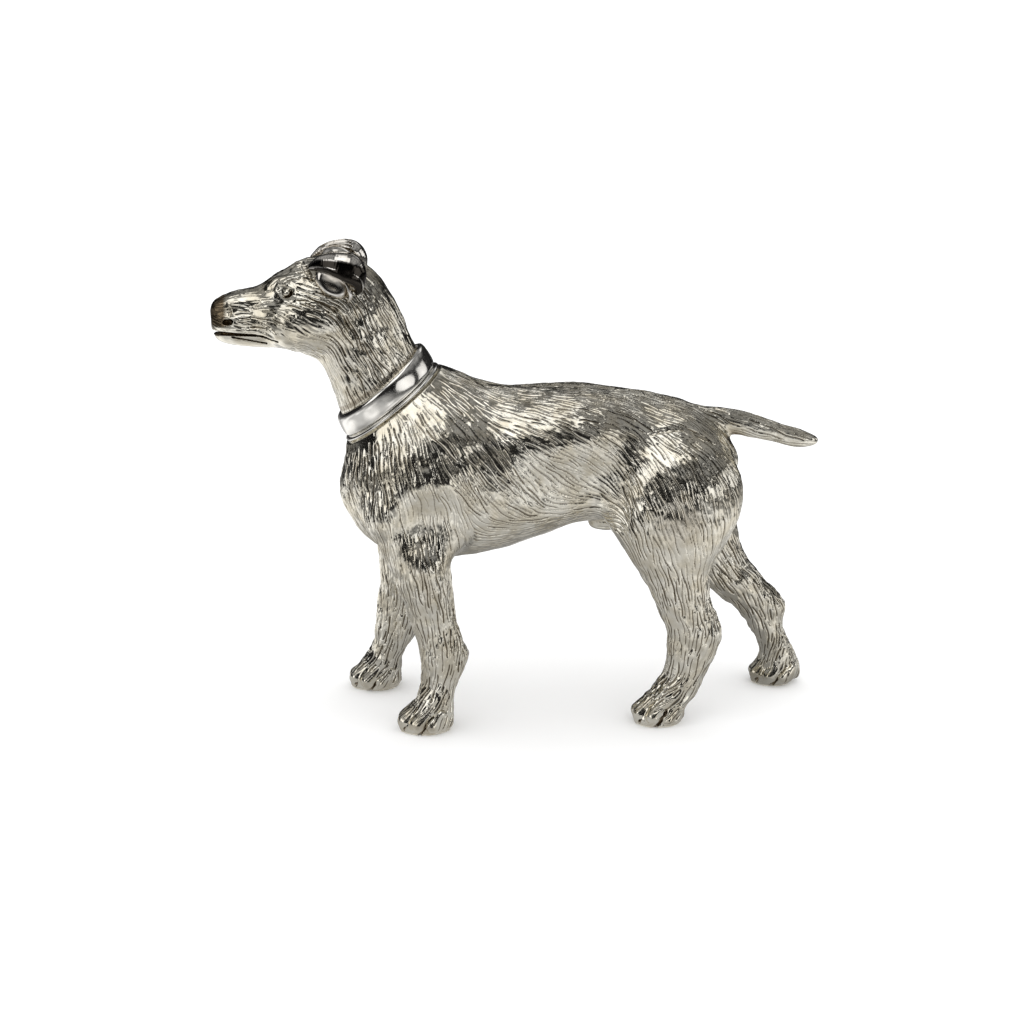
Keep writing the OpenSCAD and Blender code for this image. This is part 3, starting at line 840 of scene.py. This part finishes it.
def side_of(d, tris):
    """+1 or -1 for each triangle that doesn't cross the plane."""
    high, low = d[tris].max(1), d[tris].min(1)
    return np.where(high > -low, 1, -1)


def loops_of(tris):
    """Boundary loops as lists of point numbers, each running with its triangles' edges."""
    e = edges_of(tris)
    n = int(tris.max()) + 1
    code = e[:, 0] * n + e[:, 1]
    back = e[:, 1] * n + e[:, 0]
    border = e[~np.isin(code, back)]
    follow = {}
    for a, b in border:
        follow.setdefault(int(a), []).append(int(b))
    loops = []
    while follow:
        start = next(iter(follow))
        loop = [start]
        while True:
            nexts = follow.get(loop[-1])
            if not nexts:
                break
            b = nexts.pop()
            if not nexts:
                del follow[loop[-1]]
            if b == start:
                break
            loop.append(b)
        loops.append(loop)
    return loops


def part_pieces(points, normals, tris):
    """Splits the skin at the seams; gives {piece: triangles}."""
    middle = points[tris].mean(1)
    piece = np.full(len(tris), "torso", dtype=object)

    def assign(zone, seam, name):
        d = snap_to_seam(points, normals, tris, zone, seam)
        piece[zone & (side_of(d, tris) > 0)] = name

    assign((middle[:, 2] > 40) & (middle[:, 0] < -5), NECK_SEAM, "head")
    assign((middle[:, 0] > 25) & (middle[:, 2] > 38), TAIL_SEAM, "tail")
    low = middle[:, 2] < 34
    front = middle[:, 0] < 0
    left = middle[:, 1] < 0
    assign(low & front & left, FORE_SEAM, "fore_left")
    assign(low & front & ~left, FORE_SEAM, "fore_right")
    assign(low & ~front & left, HIND_SEAM_LEFT, "hind_left")
    assign(low & ~front & ~left, HIND_SEAM_RIGHT, "hind_right")
    torso = piece == "torso"
    d = snap_to_seam(points, normals, tris, torso, ((0, 0, 0), (0, 1, 0)))
    side = side_of(d, tris)
    piece[torso & (side < 0)] = "torso_left"
    piece[torso & (side > 0)] = "torso_right"
    return {name: tris[piece == name] for name in sorted(set(piece))}


def cap_faces(points, loop):
    """Flat faces that close a boundary loop, one for each plane that the loop lies in."""
    p = points[loop]
    on_middle = np.abs(p[:, 1]) < 1e-6
    if on_middle.all() or not on_middle.any() or on_middle.sum() < 8:
        return [loop[::-1]]
    n = len(loop)
    start = next(i for i in range(n) if on_middle[i] and not on_middle[i - 1])
    order = [loop[(start + i) % n] for i in range(n)]
    flags = [bool(on_middle[(start + i) % n]) for i in range(n)]
    faces, middle, arc = [], [], []
    for i, (v, f) in enumerate(zip(order, flags)):
        if f:
            if arc:
                arc.append(v)
                faces.append(arc[::-1])
                arc = []
            middle.append(v)
        else:
            if not arc:
                arc = [middle[-1]]
            arc.append(v)
    if arc:
        arc.append(order[0])
        faces.append(arc[::-1])
    faces.append(middle[::-1])
    return faces


def make_piece(name, points, tris, marks, caps=True, normals=None):
    """A closed mesh object from a share of the skin, with its marks as attributes."""
    used, inverse = np.unique(tris, return_inverse=True)
    tris = inverse.reshape(-1, 3)
    own = points[used]
    faces = []
    if caps:
        for loop in loops_of(tris):
            faces += cap_faces(own, loop)
    mesh = bpy.data.meshes.new(name)
    sizes = [3] * len(tris) + [len(f) for f in faces]
    corners = np.concatenate([tris.ravel()] + [np.array(f) for f in faces]).astype(np.int32)
    mesh.vertices.add(len(own))
    mesh.vertices.foreach_set("co", (own * MM).ravel())
    mesh.loops.add(len(corners))
    mesh.loops.foreach_set("vertex_index", corners)
    mesh.polygons.add(len(sizes))
    mesh.polygons.foreach_set("loop_start", np.concatenate([[0], np.cumsum(sizes)[:-1]]).astype(np.int32))
    smooth = np.ones(len(sizes), bool)
    smooth[len(tris):] = False
    mesh.polygons.foreach_set("use_smooth", smooth)
    mesh.update(calc_edges=True)
    mesh.validate()
    for word, values in marks.items():
        attribute = mesh.attributes.new(word, "FLOAT", "POINT")
        attribute.data.foreach_set("value", values[used].astype(np.float32))
    if normals is not None:
        mesh.normals_split_custom_set_from_vertices(normals[used])
    return place_mesh(name, mesh)


def place_mesh(name, mesh):
    ob = bpy.data.objects.new(name, mesh)
    bpy.context.collection.objects.link(ob)
    return ob


# ---- collar and ears
def inset(rib, wall):
    x0, z0, x1, z1, y, half = rib
    size = math.hypot(x1 - x0, z1 - z0)
    ux, uz = (x1 - x0) / size * wall, (z1 - z0) / size * wall
    return np.array([x0 + ux, z0 + uz, x1 - ux, z1 - uz, y, half - wall])


def collar_band(name, profile, flare=0.0):
    """A ring round the neck from a closed list of (share of height, stand-off in mm), flared upwards."""
    around = 288
    foot, top = inset(TORSO[0], 1.2), np.array(HEAD[-3])
    turn = np.arange(around) * 2 * math.pi / around
    rings = []
    for rise, off in profile:
        r = inset(foot * (1 - rise) + top * rise, -(off + flare * rise))
        x = (r[0] + r[2]) / 2 + (r[2] - r[0]) / 2 * np.cos(turn)
        z = (r[1] + r[3]) / 2 + (r[3] - r[1]) / 2 * np.cos(turn)
        rings.append(np.stack([x, r[5] * np.sin(turn), z], -1))
    m, n = len(rings), around
    i, k = np.meshgrid(np.arange(m), np.arange(n), indexing="ij")
    nxt, up = (k + 1) % n, (i + 1) % m
    quads = np.stack([i * n + k, i * n + nxt, up * n + nxt, up * n + k], -1).reshape(-1, 4)
    mesh = bpy.data.meshes.new(name)
    mesh.from_pydata((np.vstack(rings) * MM).tolist(), [], quads.tolist())
    mesh.polygons.foreach_set("use_smooth", np.ones(len(quads), bool))
    mesh.update()
    return place_mesh(name, mesh)


def round_profile(low, high, inner, outer, power):
    """A rounded section between two heights, open to the neck at its inner side."""
    steps = 14
    out = [(low, inner)]
    for k in range(steps + 1):
        t = -1 + 2 * k / steps
        lift = (1 - abs(t) ** power) ** (1 / power)
        out.append((low + (high - low) * (t + 1) / 2, inner + (outer - inner) * (0.25 + 0.75 * lift)))
    out.append((high, inner))
    return out[::-1]


RIGHT_EAR_DROP = 0.5  # the right ear sits a little lower, mm


def ear_roll():
    """The crest of the ear's roll and the thinner skirt under it, as [x, y, z, radius] rows."""
    crest = smooth_rows(EAR_ROLL, 4)
    return crest, crest * [1, 1, 1, 0.42] - crest[:, 3:4] * [[0.0, 0.72, 0.72, 0.0]]


def sculpt_ear(side):
    """One folded ear: a bright roll over an open cup."""
    low, high = np.array([-36, -11, 68.5]), np.array([-22, -2, 80])
    if side > 0:
        low[1], high[1] = 2, 11
    ear = Field(low, high, EAR_STEP)
    where, x, y, z = ear.part((-40, -12, 60), (-20, 12, 90))
    y = y * -side
    if side > 0:
        z = z + RIGHT_EAR_DROP
    crest, skirt = ear_roll()
    roll = join_smooth(tube(x, y, z, crest), tube(x, y, z, skirt), 0.9)
    rim = tube(x, y, z, smooth_rows(EAR_RIM, 4))
    root = ellipsoid(x, y, z, (-29.0, -5.2, 75.4), (3.0, 2.4, 2.4), -20)
    plate = ellipsoid(x, y, z, (-29.6, -5.8, 73.3), (3.3, 2.3, 2.2), -35)
    bowl = ellipsoid(x, y, z, (-29.9, -8.8, 73.7), (2.8, 1.6, 1.55), -33)
    shape = join_smooth(join_smooth(plate, root, 0.8), rim, 0.6)
    shape = join_smooth(cut_smooth(shape, bowl, 0.7), roll, 0.25)
    for turn in (78, 98, 118, 138, 158):  # hair lines over the top of the roll
        c, s = math.cos(math.radians(turn)), math.sin(math.radians(turn))
        line = crest[4:-6] + crest[4:-6, 3:4] * [[0.0, -c, s, 0.0]]
        line[:, 3] = 0.17
        shape = cut_smooth(shape, tube(x, y, z, line), 0.08)
    ear.values[where] = shape
    return ear


def ear_piece(name, field, dog, side):
    """The ear as a mesh, dark with patina in its cup, and with painted shade and painted dark reflection,
    nearly black, under and on top of its roll.
    """
    points, tris = mesh_of(field)
    n = vertex_normals(points, tris)
    hidden = np.zeros(len(points))
    for reach in (0.7, 1.5, 2.6):
        clear = np.minimum(field.sample(points + n * reach), dog.sample(points + n * reach))
        hidden = np.maximum(hidden, 1 - clear / reach)
    rise = 0.04 * value_noise(points, 1.1, 9) + 0.09 * value_noise(points, 2.6, 10)
    points = points + n * rise[:, None]
    out = points * [1, -side, 1] + [[0, 0, RIGHT_EAR_DROP if side > 0 else 0.0]]
    crest, skirt = ear_roll()
    on_roll = np.minimum(tube(*out.T, crest), tube(*out.T, skirt)) < 0.22
    # Painted shade and dark reflection: the roll is painted nearly black where it faces down and where it
    # faces up, by its normals, except where it turns in toward the head.
    shade = fade(0.40 - n[:, 2], 0.14) + 0.6 * fade(n[:, 2] - 0.70, 0.1)
    painted_shade = on_roll * shade * fade(side * n[:, 1] + 0.6, 0.4)
    return make_piece(name, points, tris, {"patina": fade(hidden), "painted_shade": painted_shade}, caps=False)


# ---- materials
class Nodes:
    """A small helper for building node materials; sockets in, sockets out."""

    def __init__(self, name, kind="ShaderNodeBsdfPrincipled"):
        self.material = bpy.data.materials.new(name)
        self.material.use_nodes = True
        self.tree = self.material.node_tree
        self.tree.nodes.clear()
        self.shader = self.add(kind)
        self.link(self.shader.outputs[0], self.add("ShaderNodeOutputMaterial").inputs["Surface"])

    def add(self, kind, **settings):
        node = self.tree.nodes.new(kind)
        for key, value in settings.items():
            if key.startswith("in_"):
                node.inputs[key[3:].replace("_", " ")].default_value = value
            else:
                setattr(node, key, value)
        return node

    def link(self, source, target):
        self.tree.links.new(source, target)

    def noise(self, place, scale, detail, roughness=0.5):
        node = self.add("ShaderNodeTexNoise", in_Scale=scale, in_Detail=detail, in_Roughness=roughness)
        if place:
            self.link(place, node.inputs["Vector"])
        return node.outputs["Fac"]

    def span(self, source, low, high, **settings):
        """A socket's value from low to high, as 0 to 1 unless the settings say otherwise."""
        node = self.add("ShaderNodeMapRange", in_From_Min=low, in_From_Max=high, **settings)
        self.link(source, node.inputs["Value"])
        return node.outputs["Result"]

    def ramp(self, source, stops):
        """A colour for a socket's value, from (place, colour) stops."""
        node = self.add("ShaderNodeValToRGB")
        elements = node.color_ramp.elements
        while len(elements) < len(stops):
            elements.new(0.5)
        for element, (place, color) in zip(elements, stops):
            element.position = place
            element.color = (*color, 1)
        self.link(source, node.inputs["Fac"])
        return node.outputs["Color"]


def silver(name, bright, tone, shine, scratch, marks=()):
    """Silver with a warm tone in its hollows, small dents and polishing marks.

    A mark is an attribute, the two values between which it comes in, its colour and its roughness.
    """
    m = Nodes(name)
    m.shader.inputs["Metallic"].default_value = 1.0
    place = m.add("ShaderNodeTexCoord").outputs["Object"]
    cloud = m.noise(place, 300.0, 4.0, 0.6)
    color = m.ramp(cloud, [(0.36, tone), (0.60, bright)])
    rough = m.span(cloud, 0.3, 0.7, in_To_Min=shine * 1.6, in_To_Max=shine)
    for word, first, last, shade, dull in marks:
        mark = m.add("ShaderNodeAttribute", attribute_name=word, attribute_type="GEOMETRY")
        share = m.span(mark.outputs["Fac"], first, last, interpolation_type="SMOOTHSTEP")
        mix = m.add("ShaderNodeMix", data_type="RGBA")
        m.link(share, mix.inputs["Factor"])
        m.link(color, mix.inputs[6])
        mix.inputs[7].default_value = (*shade, 1)
        more = m.add("ShaderNodeMath", operation="MULTIPLY_ADD")
        m.link(share, more.inputs[0])
        more.inputs[1].default_value = dull
        m.link(rough, more.inputs[2])
        color, rough = mix.outputs[2], more.outputs[0]
    m.link(color, m.shader.inputs["Base Color"])
    m.link(rough, m.shader.inputs["Roughness"])
    bump = m.add("ShaderNodeBump", in_Strength=scratch, in_Distance=0.00004)
    m.link(m.noise(place, 1500.0, 3.0), bump.inputs["Height"])
    m.link(bump.outputs["Normal"], m.shader.inputs["Normal"])
    return m.material


def floor_material():
    m = Nodes("white_sweep")
    color = m.ramp(m.noise(None, 40.0, 3.0), [(0.0, (0.93, 0.93, 0.93)), (1.0, (0.97, 0.97, 0.97))])
    m.link(color, m.shader.inputs["Base Color"])
    m.shader.inputs["Roughness"].default_value = 0.9
    m.shader.inputs["Specular IOR Level"].default_value = 0.1
    return m.material


def glow_material(name, levels, axis, reach, side=((0, 1), (1, 1)), side_reach=1.0, patches=0.0, scale=2.0):
    """A glow that follows height or distance, the left-right coordinate, and soft patches."""
    m = Nodes(name, "ShaderNodeEmission")
    place = m.add("ShaderNodeTexCoord").outputs["Object"]
    split = m.add("ShaderNodeSeparateXYZ")
    m.link(place, split.inputs[0])
    if axis == "R":
        length = m.add("ShaderNodeVectorMath", operation="LENGTH")
        m.link(place, length.inputs[0])
        source = length.outputs["Value"]
    else:
        source = split.outputs[axis]
    strength = None
    for value, low, high, stops in (
        (source, 0.0, reach, levels),
        (split.outputs["X"], -side_reach, side_reach, side),
        (m.noise(place, scale, 1.0), 0.0, 1.0, ((0.40, 1.0 - patches), (0.56, 1.0))),
    ):
        grey = m.ramp(m.span(value, low, high), [(rise, (level,) * 3) for rise, level in stops])
        if strength is None:
            strength = grey
        else:
            times = m.add("ShaderNodeMath", operation="MULTIPLY")
            m.link(strength, times.inputs[0])
            m.link(grey, times.inputs[1])
            strength = times.outputs[0]
    m.shader.inputs["Color"].default_value = (1.0, 0.985, 0.96, 1)
    m.link(strength, m.shader.inputs["Strength"])
    m.material.cycles.emission_sampling = "NONE"
    return m.material


# ---- studio
def place_camera():
    distance, view_width = 0.400, 0.16926
    rise, turn = math.radians(16), math.radians(-3)
    target = Vector((-0.001, 0, 0.0337))
    way = Vector((math.sin(turn) * math.cos(rise), -math.cos(turn) * math.cos(rise), math.sin(rise)))
    data = bpy.data.cameras.new("camera")
    data.sensor_width = 36
    data.lens = data.sensor_width * distance / view_width
    data.clip_start = 0.01
    data.clip_end = 50
    ob = bpy.data.objects.new("camera", data)
    ob.location = target + way * distance
    ob.rotation_euler = (-way).to_track_quat("-Z", "Y").to_euler()
    bpy.context.collection.objects.link(ob)
    bpy.context.scene.camera = ob


def add_stage(name, verts, faces, material, only_reflected=True):
    """A part of the studio; one that is only reflected is a card that the silver alone sees."""
    mesh = bpy.data.meshes.new(name)
    mesh.from_pydata(verts, [], faces)
    mesh.materials.append(material)
    ob = place_mesh(name, mesh)
    if only_reflected:
        for rays in ("camera", "diffuse", "shadow", "transmission"):
            setattr(ob, "visible_" + rays, False)
    return ob


def circle(radius, z, around):
    turns = (2 * math.pi * k / around for k in range(around))
    return [(radius * math.cos(a), radius * math.sin(a), z) for a in turns]


def build_dome():
    """What the silver mirrors from above: a dark room with a pale ceiling."""
    radius, rows, around = 3.0, 24, 48
    rises = [math.radians(-2 + 92 * i / rows) for i in range(rows + 1)]
    verts = [v for r in rises for v in circle(radius * math.cos(r), radius * math.sin(r), around)]
    faces = [
        (low + k, low + (k + 1) % around, low + around + (k + 1) % around, low + around + k)
        for low in range(0, rows * around, around)
        for k in range(around)
    ]
    levels = [(0.0, 0.07), (0.06, 0.02), (0.36, 0.03), (0.50, 0.20), (0.66, 0.36), (1.0, 0.38)]
    side = [(0.0, 1.0), (0.3, 0.9), (0.6, 0.8), (1.0, 0.9)]
    add_stage("dome", verts, faces, glow_material("room", levels, "Z", radius, side, radius, 0.65, 1.5))


def build_table_card():
    """The table as the silver mirrors it: darker under the dog, pale around, dark far off."""
    near = [(0.0, 0.46), (0.04, 0.5), (0.06, 0.7), (0.09, 1.15), (0.13, 1.05)]
    far = [(0.2, 0.5), (0.3, 0.3), (1.0, 0.05)]
    side = [(0.0, 0.75), (0.25, 0.95), (0.5, 1.0), (0.72, 0.75), (1.0, 0.45)]
    table = glow_material("table", near + far, "R", 1.0, side, 0.3, 0.5, 14.0)
    around = 96
    ob = add_stage("table_card", circle(2.9, 0, around), [list(range(around))], table)
    ob.location.z = 0.0002


def build_card(name, place, width, height, level):
    """A softbox or window, facing the dog."""
    w, h = width / 2, height / 2
    fade_out = [(0.0, level), (0.5, level * 0.85), (1.0, level * 0.7)]
    material = glow_material(name, fade_out, "R", max(w, h))
    ob = add_stage(name, [(-w, -h, 0), (w, -h, 0), (w, h, 0), (-w, h, 0)], [(0, 1, 2, 3)], material)
    ob.location = place
    ob.rotation_euler = (Vector((0, 0, 0.035)) - Vector(place)).to_track_quat("-Z", "Y").to_euler()


def light_studio():
    world = bpy.data.worlds.new("studio")
    world.use_nodes = True
    glow = world.node_tree.nodes["Background"]
    glow.inputs["Color"].default_value = (1, 1, 1, 1)
    glow.inputs["Strength"].default_value = 1.35
    bpy.context.scene.world = world
    build_dome()
    build_table_card()
    build_card("softbox_top", (-0.2, -0.62, 1.05), 1.0, 0.72, 1.5)
    build_card("softbox_left", (-1.02, -0.72, 0.46), 0.85, 0.8, 1.4)
    build_card("softbox_back", (0.5, 1.1, 1.0), 0.9, 0.3, 0.9)
    build_card("window_right", (0.90, -0.85, 0.17), 0.95, 0.50, 1.2)
    build_card("window_behind", (1.25, 0.15, 0.30), 0.75, 0.45, 1.1)
    build_card("overhead", (-0.1, 0.0, 1.3), 0.85, 0.45, 1.35)
    bpy.context.scene.view_settings.view_transform = "Standard"


def build_floor():
    around = 96
    add_stage("sweep", circle(8.0, 0, around), [list(range(around))], floor_material(), only_reflected=False)


# ---- assembly
NODE_OF = {
    "head": "head_and_neck",
    "tail": "tail",
    "fore_left": "fore_leg_left",
    "fore_right": "fore_leg_right",
    "hind_left": "hind_leg_left",
    "hind_right": "hind_leg_right",
    "torso_left": "torso_left_shell",
    "torso_right": "torso_right_shell",
}


def fit(ob, material, slot, *nodes):
    ob.data.materials.append(material)
    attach(ob, "root")
    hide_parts(*nodes)


def build_body(dog):
    """The castings: the skin with its fur, parted along the solder seams."""
    folds = ("patina", 0.22, 0.95, (0.22, 0.17, 0.11), 0.12)
    cuts = ("groove", 0.3, 0.9, (0.18, 0.15, 0.11), 0.15)
    engraved = silver("engraved_silver", (0.91, 0.885, 0.80), (0.76, 0.71, 0.59), 0.11, 0.3, [folds, cuts])
    points, tris = mesh_of(dog)
    moved, groove, hidden = cut_fur(dog, points, tris)
    marks = {"groove": groove, "patina": patina(points, hidden)}
    shares = part_pieces(moved, vertex_normals(moved, tris), tris)
    normals = vertex_normals(moved, tris)
    for name, share in shares.items():
        ob = make_piece("silver_" + name, moved, share, marks, normals=normals)
        fit(ob, engraved, "engraved_silver", NODE_OF[name])


def build_ears(dog):
    folds = ("patina", 0.15, 0.65, (0.34, 0.29, 0.22), 0.2)
    # Painted shade and painted dark reflection on the ear's roll, nearly black.
    painted_shade = ("painted_shade", 0.0, 1.0, (0.045, 0.04, 0.035), 0.0)
    bright = silver("bright_ear_silver", (0.90, 0.88, 0.85), (0.82, 0.79, 0.74), 0.06, 0.15, [folds, painted_shade])
    for side, word in ((-1, "left"), (1, "right")):
        ob = ear_piece("silver_ear_" + word, sculpt_ear(side), dog, side)
        fit(ob, bright, "polished_ear", "ear_" + word)


def build_collar():
    polished = silver("polished_silver", (0.96, 0.955, 0.93), (0.90, 0.885, 0.85), 0.09, 0.15)
    strap = collar_band("silver_collar_strap", round_profile(0.18, 1.0, -0.3, 0.7, 2.8), flare=0.5)
    fit(strap, polished, "polished_collar", "collar_strap")
    wire = collar_band("silver_collar_wire", round_profile(0.03, 0.19, -0.25, 0.95, 2.2))
    fit(wire, polished, "polished_collar", "collar_wire")


def finish_dowels():
    inner = silver("joint_silver", (0.8, 0.78, 0.74), (0.7, 0.67, 0.6), 0.3, 0.3)
    for name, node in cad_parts.items():
        if name.startswith("dowel"):
            node.data.materials.clear()
            node.data.materials.append(inner)


place_camera()
build_floor()
light_studio()
terrier = sculpt_dog()
build_body(terrier)
build_ears(terrier)
build_collar()
finish_dowels()
